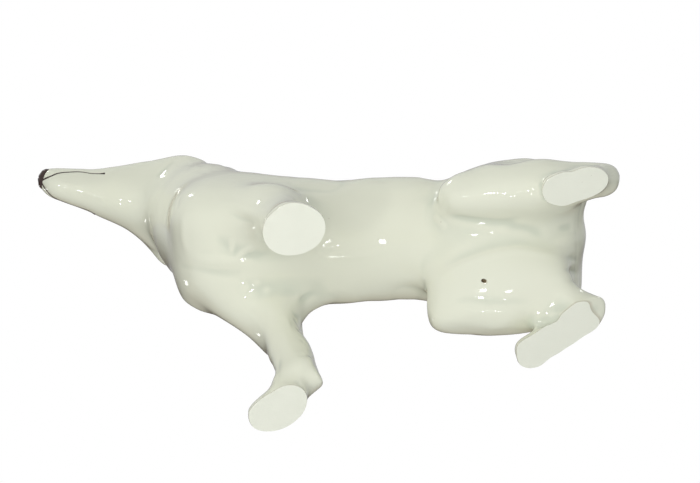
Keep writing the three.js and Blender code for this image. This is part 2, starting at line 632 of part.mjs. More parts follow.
const GLAZE = { color: 0xd9dac6, roughness: 0.12, metalness: 0 };
const castings = {
  trunk,
  head,
  left_ear: casting(earRegion(leftEar, 0), CELL.ear),
  right_ear: casting(earRegion(rightEar, 0), CELL.ear),
  left_foreleg: casting(forelegRegion(leftForeleg, 0), CELL.foreleg),
  right_foreleg: casting(forelegRegion(rightForeleg, 0), CELL.foreleg),
  left_hind_leg: casting(leftHindRegion(0), CELL.hindLeg).subtract(hollow),
  right_hind_leg: casting(rightHindRegion(0), CELL.hindLeg).subtract(hollow).subtract(vent),
  tail: skin(tail, boundsOf(tailForms), CELL.tail).subtract(rumpSkin),
};

const dog = new THREE.Group();
for (const [name, solid] of Object.entries(castings)) {
  const { vertProperties, triVerts } = largest(solid).getMesh();
  const geometry = new THREE.BufferGeometry();
  geometry.setAttribute('position', new THREE.BufferAttribute(vertProperties, 3));
  geometry.setIndex(new THREE.BufferAttribute(triVerts, 1));
  geometry.computeVertexNormals();
  const mesh = new THREE.Mesh(geometry, new THREE.MeshStandardMaterial(GLAZE));
  mesh.name = name;
  dog.add(mesh);
}

// The origin lies under the middle of the figurine, on the table
const extent = new THREE.Box3().setFromObject(dog);
const middle = extent.getCenter(at(0, 0, 0));
dog.position.set(-middle.x, -middle.y, -extent.min.z);

export default dog;
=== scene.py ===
import math

import bmesh
import bpy
import numpy as np
from mathutils import Matrix, Vector
from mathutils.bvhtree import BVHTree


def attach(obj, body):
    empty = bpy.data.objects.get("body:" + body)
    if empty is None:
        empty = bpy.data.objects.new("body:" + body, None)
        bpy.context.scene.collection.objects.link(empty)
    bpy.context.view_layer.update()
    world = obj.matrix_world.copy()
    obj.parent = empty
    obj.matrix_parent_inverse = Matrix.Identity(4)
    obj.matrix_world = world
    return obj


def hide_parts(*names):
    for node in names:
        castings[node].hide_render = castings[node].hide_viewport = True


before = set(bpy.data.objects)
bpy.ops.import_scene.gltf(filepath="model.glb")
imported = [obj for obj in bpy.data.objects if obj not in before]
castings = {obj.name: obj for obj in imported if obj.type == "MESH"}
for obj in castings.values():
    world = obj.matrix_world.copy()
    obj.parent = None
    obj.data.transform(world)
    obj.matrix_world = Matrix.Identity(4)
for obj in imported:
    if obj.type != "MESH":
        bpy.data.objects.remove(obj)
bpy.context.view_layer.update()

# The camera looks up at the belly through the table, with the head at the left, as when the dog is
# turned over in the hand. It leans a little towards the dog's right and tail.
PICTURE_WIDTH, PICTURE_HEIGHT = 700, 483
PICTURE_SCALE = 0.43e-3
VIEW_DISTANCE = 1.5
VIEW_LEAN = Vector((0.15, 0.25, 1.0))
VIEW_ROLL = math.radians(5.5)
PICTURE_MIDDLE = Vector((0.00157, -0.02781, 0.0))

look = VIEW_LEAN.normalized()
right = (Vector((1, 0, 0)) - look * look.x).normalized()
roll = Matrix.Rotation(VIEW_ROLL, 3, "Z")
look, right = roll @ look, roll @ right
up = right.cross(look)
down = -up
eye_point = PICTURE_MIDDLE - look * VIEW_DISTANCE
pixels_deep = VIEW_DISTANCE / PICTURE_SCALE

scene = bpy.context.scene
camera_data = bpy.data.cameras.new("camera")
camera_data.lens = pixels_deep / PICTURE_WIDTH * camera_data.sensor_width
camera = bpy.data.objects.new("camera", camera_data)
camera_turn = Matrix((right, up, -look)).transposed().to_4x4()
camera.matrix_world = Matrix.Translation(eye_point) @ camera_turn
scene.collection.objects.link(camera)
scene.camera = camera


# The biscuit body. The nine cast pieces are luted with slip and fettled until no seam shows, so they are
# fused here into one skin: copies swollen by a little over half a seam, with feet left long for grinding.
SEAM = 0.0003
SEAM_SHARE = 0.7
WELD = 1e-6
SKIN_GRAIN = 0.00085
FOOT_SPARE = 0.003


def link_mesh(name, bm):
    mesh = bpy.data.meshes.new(name)
    bm.to_mesh(mesh)
    bm.free()
    piece = bpy.data.objects.new(name, mesh)
    scene.collection.objects.link(piece)
    return piece


def applied(piece):
    """The piece's mesh with its modifiers applied, as a new mesh. The piece itself is removed."""
    bpy.context.view_layer.update()
    shaped = piece.evaluated_get(bpy.context.evaluated_depsgraph_get())
    mesh = bpy.data.meshes.new_from_object(shaped)
    bpy.data.objects.remove(piece)
    return mesh


luted = bmesh.new()
for node in castings.values():
    casting = bmesh.new()
    casting.from_mesh(node.data)
    bmesh.ops.remove_doubles(casting, verts=casting.verts, dist=WELD)
    casting.normal_update()
    for vert in casting.verts:
        vert.co += vert.normal * SEAM * SEAM_SHARE
        if vert.co.z < 2 * SEAM:
            vert.co.z = -FOOT_SPARE
    swollen = bpy.data.meshes.new("swollen")
    casting.to_mesh(swollen)
    casting.free()
    luted.from_mesh(swollen)
    bpy.data.meshes.remove(swollen)

# The vent is stopped with a plug while the skin is made, and pierced again later. The plug's sizes are in
# the vent's longer radii.
VENT_AT = Vector((0.06117, -0.00081))
VENT_RADII = Vector((0.0011, 0.0008))
PLUG_RADIUS, PLUG_LENGTH, PLUG_RISE = 1.6, 4, 2.2

haunch = BVHTree.FromObject(castings["right_hind_leg"], bpy.context.evaluated_depsgraph_get())
vent_mouth = haunch.ray_cast(Vector((VENT_AT.x + 2 * VENT_RADII.x, VENT_AT.y, 0)), Vector((0, 0, 1)))[0]
plugged = Matrix.Translation((VENT_AT.x, VENT_AT.y, vent_mouth.z + PLUG_RISE * VENT_RADII.x))
bmesh.ops.create_cone(luted, cap_ends=True, segments=16, radius1=PLUG_RADIUS * VENT_RADII.x,
                      radius2=PLUG_RADIUS * VENT_RADII.x, depth=PLUG_LENGTH * VENT_RADII.x, matrix=plugged)
fused = link_mesh("fused", luted)
remesh = fused.modifiers.new("fuse", "REMESH")
remesh.mode = "VOXEL"
remesh.voxel_size = SKIN_GRAIN


def largest_shell(mesh):
    """The outside of the fused body. The hollow is left out, as nothing of it shows past the vent."""
    bm = bmesh.new()
    bm.from_mesh(mesh)
    bm.verts.ensure_lookup_table()
    shell_of = np.full(len(bm.verts), -1)
    sizes = []
    for vert in bm.verts:
        if shell_of[vert.index] >= 0:
            continue
        shell = len(sizes)
        shell_of[vert.index] = shell
        reached = [vert]
        for near in reached:
            for edge in near.link_edges:
                other = edge.other_vert(near)
                if shell_of[other.index] < 0:
                    shell_of[other.index] = shell
                    reached.append(other)
        sizes.append(len(reached))
    keep = int(np.argmax(sizes))
    bmesh.ops.delete(bm, geom=[v for v in bm.verts if shell_of[v.index] != keep], context="VERTS")
    return bm


skin = largest_shell(applied(fused))
skin.verts.ensure_lookup_table()
skin.verts.index_update()
spots = np.array([v.co for v in skin.verts])
pairs = np.array([[e.verts[0].index, e.verts[1].index] for e in skin.edges])


# The biscuit is sponged smooth before the glaze. The rounds of sponging go by how coarse the casting
# is at each spot, and a second go gives back the fullness that the first takes off.
SPONGING = {"trunk": 60, "head": 30, "left_ear": 10, "right_ear": 10, "left_foreleg": 26,
            "right_foreleg": 26, "left_hind_leg": 40, "right_hind_leg": 40, "tail": 30}
BLEND_ROUNDS = 30
WIPE = 0.5

node_names = list(castings)
facets, facet_points, facet_node = [], [], []
for n, name in enumerate(node_names):
    mesh = castings[name].data
    offset = len(facet_points)
    facet_points.extend(v.co.copy() for v in mesh.vertices)
    facets.extend([offset + i for i in p.vertices] for p in mesh.polygons)
    facet_node.extend([n] * len(mesh.polygons))
cast_surface = BVHTree.FromPolygons(facet_points, facets)
casting_at = np.array([facet_node[cast_surface.find_nearest(Vector(p))[2]] for p in spots])

valence = np.bincount(pairs.ravel(), minlength=len(spots)).astype(float)


def neighbour_mean(values):
    sums = np.empty_like(values)
    for axis in range(values.shape[1]):
        column = values[:, axis]
        sums[:, axis] = (np.bincount(pairs[:, 0], weights=column[pairs[:, 1]], minlength=len(values))
                         + np.bincount(pairs[:, 1], weights=column[pairs[:, 0]], minlength=len(values)))
    return sums / valence[:, None]


def wiped_once(values, share=WIPE):
    """The values after one wipe, which moves each by a share of the way to its neighbours' mean."""
    return values + share * (neighbour_mean(values) - values)


rounds = np.array([float(SPONGING[node_names[n]]) for n in casting_at])[:, None]
for turn in range(BLEND_ROUNDS):
    rounds = neighbour_mean(rounds)


def sponged(values):
    for turn in range(int(rounds.max())):
        values = wiped_once(values, np.clip(rounds - turn, 0, 1) * WIPE)
    return values


smooth = sponged(spots)
spots = smooth + sponged(spots - smooth)


def settled():
    """Moves the skin's vertices to their spots, and gives back its surface for finding points on it."""
    for vert, spot in zip(skin.verts, spots):
        vert.co = spot
    skin.normal_update()
    return BVHTree.FromBMesh(skin)


# Thumbed forms. The modeller pushes the soft model into its last shape with the thumb, patch by patch. A
# push is a place of the picture, how far it goes right and down there in pixels, and for some how far out
# of the body in millimetres. The thumb lies along the line of sight, where its reach is longer.
THUMB_REACH = 0.012
THUMB_LONGER = 2
THUMBED_HEAD = [
    (41, 178, 2, 0), (44, 191, 2, -2), (57, 199, 1, -2.5), (69, 204, 2, -3), (83, 210, 1.5, -4),
    (95, 215, 2, -4), (109, 221, 1.5, -1.5), (122, 228, 2, -2.5), (132, 237, 5, -4), (144, 247, 3, -3),
    (62, 169, 0, 2), (75, 169, 0, 2), (88, 170, 0, 2), (101, 170, 0, 1), (115, 170, -0.5, -2),
    (128, 170, -1, -4), (153, 161, 1, 2), (165, 160, 0, 3), (179, 160, 0, -3), (151, 182, 0, 0, 2),
    (152, 204, 0, 0, 3), (157, 228, 0, 0, 2.5), (164, 248, 0, 0, 2),
]
THUMBED_BREAST = [
    (176, 279, 2, 0), (177, 293, 6, -3), (189, 307, 9, -12), (206, 314, 0, -11), (219, 318, 0, -3),
    (231, 322, 0, 2), (244, 334, 2, -1), (255, 346, 4, -4), (280, 372, -5, 5), (264, 390, 4, 4),
    (255, 403, -1, 2), (319, 385, 0, -1), (315, 362, -6, 0), (310, 347, -2, 2), (306, 334, -4, 1),
    (309, 323, -13, -2), (312, 314, -8, -4), (321, 306, -3, -2), (334, 299, 0, 2), (347, 298, 0, 2),
    (257, 177, 0, -2), (296, 178, 0, 2), (309, 178, 0, 3), (322, 179, 0, 3), (335, 180, 0, 3),
    (243, 217, 0, 0, 2.5), (250, 232, 0, 0, 3), (236, 206, 0, 0, 1.5), (252, 194, 1, 2, -2),
    (268, 190, 1, 3, -2), (290, 216, 0, -5), (275, 221, -2, -2), (238, 203, 2, 2, 1), (240, 217, 0, 0, 4),
    (228, 208, 0, 0, 3), (248, 228, 0, 0, 2),
]
THUMBED_LOIN = [
    (374, 182, 0, -2), (387, 182, 0, -3), (400, 182, 0, -3), (413, 182, 0, -2), (451, 177, 2, 2),
    (465, 172, 1, 2), (399, 298, 0, -2), (412, 299, 0, -3), (424, 300, 3, -3), (427, 310, 4, 0),
    (432, 322, -2, 0), (453, 333, 0, -3), (466, 333, 0, -2),
]
THUMBED_RUMP = [
    (510, 161, 0, 4), (569, 164, 0, 2), (585, 163, 0, 9), (595, 163, 0, 5), (607, 165, 0, 4),
    (617, 174, -2, 0), (615, 187, -2, 0), (605, 194, -1, -2), (580, 210, 3, 0), (584, 224, -2, 0),
    (584, 234, -1, 1), (585, 248, -2, 0), (585, 261, -11, 0, 1), (585, 273, -14, 0, 2),
    (585, 282, -12, 5, 2), (590, 287, -5, 8), (601, 294, -3, 4), (606, 309, -4, 0), (587, 327, 1, 2),
    (550, 356, -2, -2), (536, 365, 0, -4), (524, 364, 2, -2), (519, 357, -2, 0), (574, 258, 0, 0, 2.5),
    (568, 268, 0, 0, 2), (455, 229, 0, -7), (475, 232, 0, -8), (495, 232, 0, -7), (515, 228, 0, -5),
    (446, 317, 0, 0, 2.5), (464, 320, 0, 0, 3), (484, 321, 0, 0, 3), (506, 319, 0, 0, 2.5),
    (470, 252, 0, 0, 1.2), (498, 243, 0, 0, 1.4), (528, 242, 0, 0, 1.4), (556, 250, 0, 0, 1.2),
]


def seen_at(across, below):
    """The skin's point that the camera sees at a place of the picture, in its pixels."""
    ray = look * pixels_deep + right * (across - PICTURE_WIDTH / 2) + down * (below - PICTURE_HEIGHT / 2)
    return surface.ray_cast(eye_point, ray.normalized())[0]


surface = settled()
thumbs = np.zeros(len(spots))
pushed = np.zeros_like(spots)
for across, below, to_right, to_below, *bulge in THUMBED_HEAD + THUMBED_BREAST + THUMBED_LOIN + THUMBED_RUMP:
    place = seen_at(across, below)
    if not place:
        continue
    pixel = (place - eye_point).length / pixels_deep
    push = (right * to_right + down * to_below) * pixel - look * sum(bulge) / 1000
    off = spots - place
    deep = off @ look
    apart = (off * off).sum(1) - (1 - 1 / THUMB_LONGER ** 2) * deep * deep
    near = np.clip(1 - apart / THUMB_REACH ** 2, 0, 1) ** 2
    thumbs += near
    pushed += near[:, None] * push
spots = spots + pushed / np.maximum(thumbs, 1)[:, None]

# The heel of the long foot is rubbed round and up, so that it clears the grinding stone.
HEEL_AT = Vector((0.1124, 0.0098, 0.0))
HEEL_REACH = 0.016
HEEL_HEIGHT = 0.009
HEEL_RISE = 0.006

near = np.clip(1 - np.square(np.linalg.norm(spots - HEEL_AT, axis=1) / HEEL_REACH), 0, 1) ** 2
low = np.clip(1 - (spots[:, 2] + FOOT_SPARE) / HEEL_HEIGHT, 0, 1)
spots[:, 2] += HEEL_RISE * near * low

# Throat, shoulders, loin, groin, thigh and rump are wiped smooth with a wet brush, and then the whole
# body lightly. A wiped patch is a place of the picture and its reach in millimetres.
WIPED = [
    (158, 185, 22), (152, 205, 26), (160, 218, 26), (163, 242, 24), (172, 258, 20), (185, 168, 22),
    (205, 172, 22), (230, 180, 24), (265, 190, 20), (245, 225, 18), (125, 223, 14), (139, 238, 14),
    (182, 282, 20), (200, 299, 20), (222, 312, 20), (245, 328, 16), (450, 280, 18), (470, 264, 22),
    (500, 256, 24), (535, 258, 24), (566, 268, 18), (455, 224, 18), (490, 226, 20), (525, 224, 20),
    (558, 222, 18), (578, 240, 16), (578, 265, 18), (582, 284, 14), (170, 176, 20), (172, 200, 22),
    (176, 228, 22), (180, 252, 20), (192, 185, 20), (224, 200, 18), (258, 201, 14), (276, 199, 13),
    (294, 200, 12), (297, 318, 10), (570, 226, 12),
]
WIPE_ROUNDS = 280
LAST_ROUNDS = 6

surface = settled()
wiped = np.zeros(len(spots))
for across, below, reach in WIPED:
    off = np.linalg.norm(spots - seen_at(across, below), axis=1) * 1000 / reach
    wiped = np.maximum(wiped, np.clip(1 - off * off, 0, 1))
for turn in range(WIPE_ROUNDS):
    spots = wiped_once(spots, WIPE * wiped[:, None])
for turn in range(LAST_ROUNDS):
    spots = wiped_once(spots)


# Tooled lines. Folds, creases and locks of hair are pressed into the soft model with a wooden tool or laid
# on as thin ridges, each thinner at its ends. A line marks only the side of a limb that it runs on.
LINE_STEP = 0.0012
LINE_REACH = 2.5
SIDE_LIMIT = 0.25

surface = settled()
facing = np.array([v.normal for v in skin.verts])
relief = np.zeros(len(spots))


def on_skin(points):
    """A smooth line through the points, laid on the skin, as places and the skin's normals there."""
    ends = [points[0] * 2 - points[1], *points, points[-1] * 2 - points[-2]]
    places, normals = [], []
    for a, b, c, d in zip(ends, ends[1:], ends[2:], ends[3:]):
        steps = max(2, int((c - b).length / LINE_STEP))
        for step in range(steps + (d is ends[-1])):
            t = step / steps
            bend = (b * 2 + (c - a) * t + (a * 2 - b * 5 + c * 4 - d) * t * t
                    + (b * 3 - a - c * 3 + d) * t ** 3)
            place, normal = surface.find_nearest(bend / 2)[:2]
            places.append(place)
            normals.append(normal)
    return np.array(places), np.array(normals)


def tool(points, width, height, fade=0.3):
    """A line of that half width: pressed in where height is below zero, laid on where it is above."""
    places, normals = on_skin(points)
    low, high = places.min(0) - LINE_REACH * width, places.max(0) + LINE_REACH * width
    near = np.flatnonzero(((spots > low) & (spots < high)).all(1))
    best = np.full(len(near), np.inf)
    along = np.zeros(len(near))
    turned_to = np.zeros(len(near))
    for step in range(len(places) - 1):
        start, run = places[step], places[step + 1] - places[step]
        share = np.clip((spots[near] - start) @ run / max(run @ run, 1e-12), 0, 1)
        distance = np.linalg.norm(spots[near] - start - share[:, None] * run, axis=1)
        closer = distance < best
        best = np.where(closer, distance, best)
        along = np.where(closer, (step + share) / (len(places) - 1), along)
        turned_to = np.where(closer, facing[near] @ normals[step], turned_to)
    ends = np.clip(np.minimum(along, 1 - along) / fade, 0, 1)
    same_side = np.clip((turned_to - SIDE_LIMIT) / (1 - SIDE_LIMIT) * 2, 0, 1)
    profile = np.exp(-2 * (best / width) ** 2)
    relief[near] += height * profile * ends * ends * (3 - 2 * ends) * same_side


def tool_seen(lines):
    """Tools lines given by places of the picture, half width and height in millimetres, and fade."""
    for pixels, width, height, *fade in lines:
        points = [p for p in (seen_at(*pixel) for pixel in pixels) if p]
        if len(points) > 1:
            tool(points, width / 1000, height / 1000, *fade)


# Breast and forelegs: the folds of the upper arms, the creases at the right leg's wrist and pad, the
# feathering behind that leg and three small tufts inside its upper arm.
ARM_FOLDS = [
    ([(212, 210), (230, 213), (246, 220), (262, 229)], 3.0, -0.4),
    ([(214, 203), (232, 205), (250, 212), (262, 219)], 3.5, 0.6),
    ([(174, 262), (195, 269), (225, 273), (255, 272)], 4.2, -0.4),
    ([(190, 259), (215, 262), (240, 262), (262, 262)], 3.5, 0.5),
    ([(186, 207), (183, 222), (184, 243), (191, 256)], 3.4, 0.4),
    ([(232, 238), (231, 255)], 1.2, 0.4),
    ([(234, 257), (256, 247)], 1.4, 0.6),
    ([(313, 258), (335, 257), (360, 256), (385, 251)], 1.6, 0.4),
    ([(323, 248), (338, 246)], 1.2, 0.3),
    ([(325, 240), (334, 237)], 1.2, 0.3),
]
PAD_CREASES = [
    ([(278, 352), (279, 368), (278, 384)], 1.2, -0.5),
    ([(293, 355), (303, 355), (313, 358)], 1.3, -0.5),
    ([(292, 379), (301, 385), (307, 395)], 1.3, -0.6),
]
FEATHERS = [(298, 317), (301, 326), (305, 336), (308, 346), (311, 356)]
TUFTS = [(240, 290), (252, 285), (262, 292)]

tool_seen(ARM_FOLDS)
tool_seen(PAD_CREASES)
tool_seen([([(x + 3, y + 1), (x - 3, y - 2), (x - 9, y - 9)], 1.1, -0.7, 0.5) for x, y in FEATHERS])
tool_seen([([(x, y), (x + 9, y - 4)], 1.4, 0.3, 0.5) for x, y in TUFTS])

# Thighs and groin: a crease along each thigh, the fold of skin round the right one, the soft arc between
# belly and rump, and the wedge between the long foot and its thigh.
THIGH_FOLDS = [
    ([(441, 211), (460, 218), (482, 221), (505, 222), (525, 217)], 3.0, -0.8),
    ([(500, 224), (525, 228), (547, 236)], 3.0, -0.5),
    ([(434, 215), (448, 229)], 1.3, 0.5),
    ([(432, 290), (442, 277), (456, 267), (493, 254), (520, 250), (550, 255), (572, 270)], 2.8, 0.5),
    ([(438, 272), (462, 257), (495, 244), (530, 241), (560, 246)], 4.5, -0.3),
    ([(436, 304), (470, 300), (510, 302), (545, 298)], 5.0, -0.6),
    ([(436, 318), (460, 322), (495, 325), (525, 322)], 5.0, 0.4),
    ([(455, 334), (457, 322)], 1.1, -0.6),
    ([(520, 334), (535, 327), (552, 320), (563, 315)], 2.4, -1.6),
]
tool_seen(THIGH_FOLDS)

# Rump: locks of hair that end in waves below the tail, some pressed in and one laid on between them.
RUMP_WAVES = [
    ([(586, 224), (574, 226), (555, 229)], 2.0, -0.5, 0.5),
    ([(583, 240), (568, 241), (550, 243)], 2.4, 0.5, 0.5),
    ([(581, 260), (568, 258), (548, 260)], 1.8, -0.6, 0.5),
    ([(580, 273), (564, 270), (545, 271)], 1.8, -0.8, 0.5),
    ([(580, 286), (566, 283), (548, 281)], 1.6, -0.5, 0.5),
]
tool_seen(RUMP_WAVES)

# Throat and ruff: a crease behind the jaw on each side, and a short one between them.
THROAT_CREASES = [
    ([(141, 237), (152, 251), (168, 267)], 3.4, -0.6),
    ([(155, 180), (166, 168), (177, 158)], 2.6, -0.3),
    ([(180, 196), (178, 210)], 1.4, -0.3),
]
tool_seen(THROAT_CREASES)

# Face and ears: the stop before the brows, a furrow down the forehead, brows and cheeks, the eyes' sockets
# with their lids, and ears hollowed with the thumb beside a raised edge. Places are millimetres ahead of
# the skull's middle, to one side of it, and above it.
HEAD_MIDDLE = Vector((-0.06443, -0.01231, 0.158))
HEAD_TURN = Matrix.Rotation(math.radians(18.5), 3, "Z")
STOP = [(30, 0, 6), (20, 0, 9), (12, 0, 14)]
FURROW = [(14, 0, 14), (4, 0, 18), (-6, 0, 18)]
BROW = [(3, 13, 12), (10, 11, 12), (16, 8, 10)]
CHEEK = [(22, 12, -2), (32, 10.5, -3), (44, 8.5, -4)]
EAR_HOLLOW = [(-6, 12, 18), (-7.5, 12.5, 27), (-9, 13, 38)]
EAR_EDGE = [(-9, 8, 20), (-10, 10.5, 30), (-11, 12.5, 41)]
EYE_PLACE = (12.5, 12.5, 5.5)
EYE_LENGTH, EYE_HEIGHT = 0.0034, 0.0023
SOCKET_BACK, SOCKET_AHEAD = 0.005, 0.006
UPPER_LID, LOWER_LID = range(10, 171, 20), range(190, 351, 20)


def on_head(ahead, left, above):
    return HEAD_MIDDLE + HEAD_TURN @ Vector((-ahead, -left, above)) / 1000


def tool_head(places, side, width, height):
    """A line on the head's left side, or on the right one where side is -1, with sizes in millimetres."""
    tool([on_head(ahead, side * out, above) for ahead, out, above in places], width / 1000, height / 1000)


def lid_arc(eye, angles, length=EYE_LENGTH, height=EYE_HEIGHT):
    """Points on an oval round an eye, at angles that go from its front corner over the upper lid."""
    place, _, forwards, upwards = eye
    turns = [math.radians(angle) for angle in angles]
    return [place + forwards * length * math.cos(turn) + upwards * height * math.sin(turn) for turn in turns]


tool_head(STOP, 1, 4.0, -0.8)
tool_head(FURROW, 1, 2.0, -0.4)
eyes = {}
for name, side in (("left", 1), ("right", -1)):
    place, normal = surface.find_nearest(on_head(EYE_PLACE[0], side * EYE_PLACE[1], EYE_PLACE[2]))[:2]
    forwards = (HEAD_TURN @ Vector((-1, 0, -0.25))).normalized()
    forwards = (forwards - normal * forwards.dot(normal)).normalized()
    upwards = forwards.cross(normal) if forwards.cross(normal).z > 0 else normal.cross(forwards)
    eyes[name] = (place, normal, forwards, upwards)
    tool([place - forwards * SOCKET_BACK, place + forwards * SOCKET_AHEAD], 0.0030, -0.0008)
    tool(lid_arc(eyes[name], UPPER_LID), 0.0010, 0.0008)
    tool(lid_arc(eyes[name], LOWER_LID), 0.0010, 0.0005)
    tool_head(BROW, side, 2.2, 0.6)
    tool_head(CHEEK, side, 3.0, -0.4)
    tool_head(EAR_HOLLOW, side, 4.6, -2.2)
    tool_head(EAR_EDGE, side, 1.4, 0.4)

# Mouth: a shallow groove on each side for the lip line, from under the nose to the mouth's corner. The
# left one is laid in the picture, and the right one is its mirror image in the head.
LIPS_SEEN = [(42.5, 180), (46, 178), (52, 175.3), (64, 172), (80, 171.5), (91, 173), (105, 173.5)]

lips = {"left": [seen_at(*pixel) for pixel in LIPS_SEEN]}
mirror = HEAD_TURN @ Matrix.Diagonal((1, -1, 1)) @ HEAD_TURN.transposed()
lips["right"] = [surface.find_nearest(HEAD_MIDDLE + mirror @ (p - HEAD_MIDDLE))[0] for p in lips["left"]]
for line in lips.values():
    tool(line, 0.0011, -0.0004, 0.1)

# Paws: grooves between the toes run over the front of each foot down to the sole. Each paw has its middle,
# turn in degrees, half sizes and middle's height, in millimetres, and its grooves in shares of half its
# width.
PAWS = [
    ((-21.9, -34.8), -11, (14, 9.5, 9), 3, (-0.40, 0.0, 0.40)),
    ((-34.4, 43.7), -25, (14, 8.2, 9), 3, (-0.40, 0.0, 0.40)),
    ((94.2, -41.6), -18, (7.9, 6.5, 7.0), 2.5, (-0.38, 0.0, 0.38)),
    ((78.9, 30.7), -32, (7.9, 6.5, 7.0), 2.5, (-0.38, 0.0, 0.38)),
]
GROOVE_ANGLES = (62, 45, 28, 12, -8)

for (x, y), yaw, (ahead, wide, tall), middle, grooves in PAWS:
    front = Vector((-math.cos(math.radians(yaw)), -math.sin(math.radians(yaw)), 0))
    across_paw = Vector((-front.y, front.x, 0))
    for groove in grooves:
        line = []
        for angle in GROOVE_ANGLES:
            reach = math.cos(math.radians(angle)) * math.sqrt(1 - groove * groove)
            line.append(Vector((x, y, middle + tall * math.sin(math.radians(angle)))) / 1000
                        + front * ahead * reach / 1000 + across_paw * wide * groove / 1000)
        tool(line, 0.0011, -0.0009, 0.25)

# Coat: short locks lie down the back of the neck and the mane, along the back, round the tail and down
# both sides of the rump, laid by hand and so a little uneven. The underside is left smooth, as on the
# real figurine.
COAT_SEED = 5
LOCK_WIDTH = 0.0013
LOCK_DEPTH = 0.0005
LOCK_POINTS = 4
SPINE_AT = -0.0083

hand = np.random.default_rng(COAT_SEED)


def unsteady(most):
    return hand.uniform(-most, most)


def lock(points, strength):
    wide, deep = hand.uniform(0.8, 1.25), hand.uniform(0.6, 1.2)
    tool(points, LOCK_WIDTH * wide, -LOCK_DEPTH * strength * deep, 0.5)


def from_outside(middle, outwards, distance):
    """Where a line that comes straight at the middle from outside meets the skin."""
    return surface.ray_cast(middle + outwards * distance, -outwards)[0]


# Mane: rings of locks round the back of the neck, placed in shares of its length from root to nape.
NECK_ROOT = Vector((-0.0424, -0.0083, 0.104))
NECK_TOP = Vector((-0.0554, -0.0111, 0.144))
MANE_RINGS, MANE_LOCKS = 5, 8
MANE_GAP, MANE_SHIFT = 13, 6
MANE_TOP, MANE_RING, MANE_STEP = 0.95, 0.2, 0.13
MANE_SPLAY, MANE_LIFT = 0.05, 0.25
MANE_END = 0.098
FULL_LOCKS, THIN_LOCK = 6, 0.45

for ring in range(MANE_RINGS):
    for turn in range(-MANE_LOCKS, MANE_LOCKS + 1):
        angle = math.radians(turn * MANE_GAP + unsteady(4) + (ring % 2) * MANE_SHIFT)
        start = MANE_TOP - MANE_RING * ring + unsteady(0.05)
        line = []
        for step in range(LOCK_POINTS):
            middle = NECK_ROOT.lerp(NECK_TOP, start - step * MANE_STEP)
            bend = angle + (step * MANE_SPLAY) * (1 if turn > 0 else -1)
            outwards = Vector((math.cos(bend), math.sin(bend), MANE_LIFT)).normalized()
            line.append(from_outside(middle, outwards, 0.08))
        if all(line) and min(p.z for p in line) > MANE_END:
            lock(line, 1 if abs(turn) < FULL_LOCKS else THIN_LOCK)

# Back: rows of locks on and beside the spine, where it is level enough.
BACK_ROWS, BACK_LOCKS = 3, 6
BACK_START, BACK_GAP, BACK_STEP = -0.012, 0.017, 0.005
ROW_GAP, ROW_SHIFT, ROW_SPLAY = 0.0062, 0.008, 0.04
BACK_FALL = 0.012

for row in range(-BACK_ROWS, BACK_ROWS + 1):
    for start in range(BACK_LOCKS):
        along = BACK_START + start * BACK_GAP + unsteady(0.003) + (row % 2) * ROW_SHIFT
        aside = SPINE_AT + row * ROW_GAP + unsteady(0.001)
        line = [from_outside(Vector((along + step * BACK_STEP, aside * (1 + step * ROW_SPLAY), 0)),
                             Vector((0, 0, 1)), 0.3) for step in range(LOCK_POINTS)]
        if all(line) and max(p.z for p in line) - min(p.z for p in line) < BACK_FALL:
            lock(line, 0.7)

# Tail: rings of locks round its curl, which sways to the dog's right as it goes.
CURL_MIDDLE = Vector((0.0913, -0.0083, 0.0825))
CURL_RADIUS, CURL_SWAY = 0.0125, 0.012
CURL_START, CURL_SWEEP = -60, 285
TAIL_ROOT, TAIL_TIP, TAIL_FULLNESS = 0.009, 0.0035, 0.004
TAIL_RINGS, TAIL_LOCKS = 6, 11
TAIL_FIRST, TAIL_RING, TAIL_STEP = 0.08, 0.145, 0.055
TAIL_SIDE, TAIL_GAP, TAIL_SHIFT = -150, 30, 15

for ring in range(TAIL_RINGS):
    for turn in range(TAIL_LOCKS):
        round_tail = math.radians(TAIL_SIDE + turn * TAIL_GAP + (ring % 2) * TAIL_SHIFT + unsteady(5))
        line = []
        for step in range(LOCK_POINTS):
            share = TAIL_FIRST + ring * TAIL_RING + step * TAIL_STEP
            angle = math.radians(CURL_START + CURL_SWEEP * share)
            outwards = Vector((math.cos(angle), 0, math.sin(angle)))
            fullness = TAIL_FULLNESS * math.sin(math.pi * share)
            radius = TAIL_ROOT + (TAIL_TIP - TAIL_ROOT) * share ** 3 + fullness
            spread = outwards * math.cos(round_tail) + Vector((0, math.sin(round_tail), 0))
            middle = CURL_MIDDLE + outwards * CURL_RADIUS + Vector((0, share * CURL_SWAY, 0))
            line.append(middle + spread * radius)
        lock(line, 1.3)

# Rump: three rows of locks on each side, which run back and down.
HIP_AT = Vector((0.075, SPINE_AT, 0.066))
HIP_ROW = Vector((0, 0, -0.011))
HIP_GAP = Vector((0.008, 0, -0.0035))
HIP_STEP = Vector((0.0035, 0, -0.0032))
HIP_ROWS, HIP_LOCKS = 3, 5

for side in (-1, 1):
    for row in range(HIP_ROWS):
        for start in range(HIP_LOCKS):
            line = []
            for step in range(LOCK_POINTS):
                aim = HIP_AT + HIP_ROW * row + HIP_GAP * start + HIP_STEP * step
                line.append(from_outside(aim, Vector((0, side, 0)), 0.1))
            if all(line):
                lock(line, 0.6)

# The marks of the tools are softened with a damp sponge.
SOFTENING = 2

for turn in range(SOFTENING):
    relief = neighbour_mean(relief[:, None])[:, 0]
spots = spots + relief[:, None] * facing
surface = settled()

# What glaze pools in: how hollow the skin is at each vertex, from 0 to 1.
POOL_ROUNDS = 12
POOL_DEPTH = 0.00018

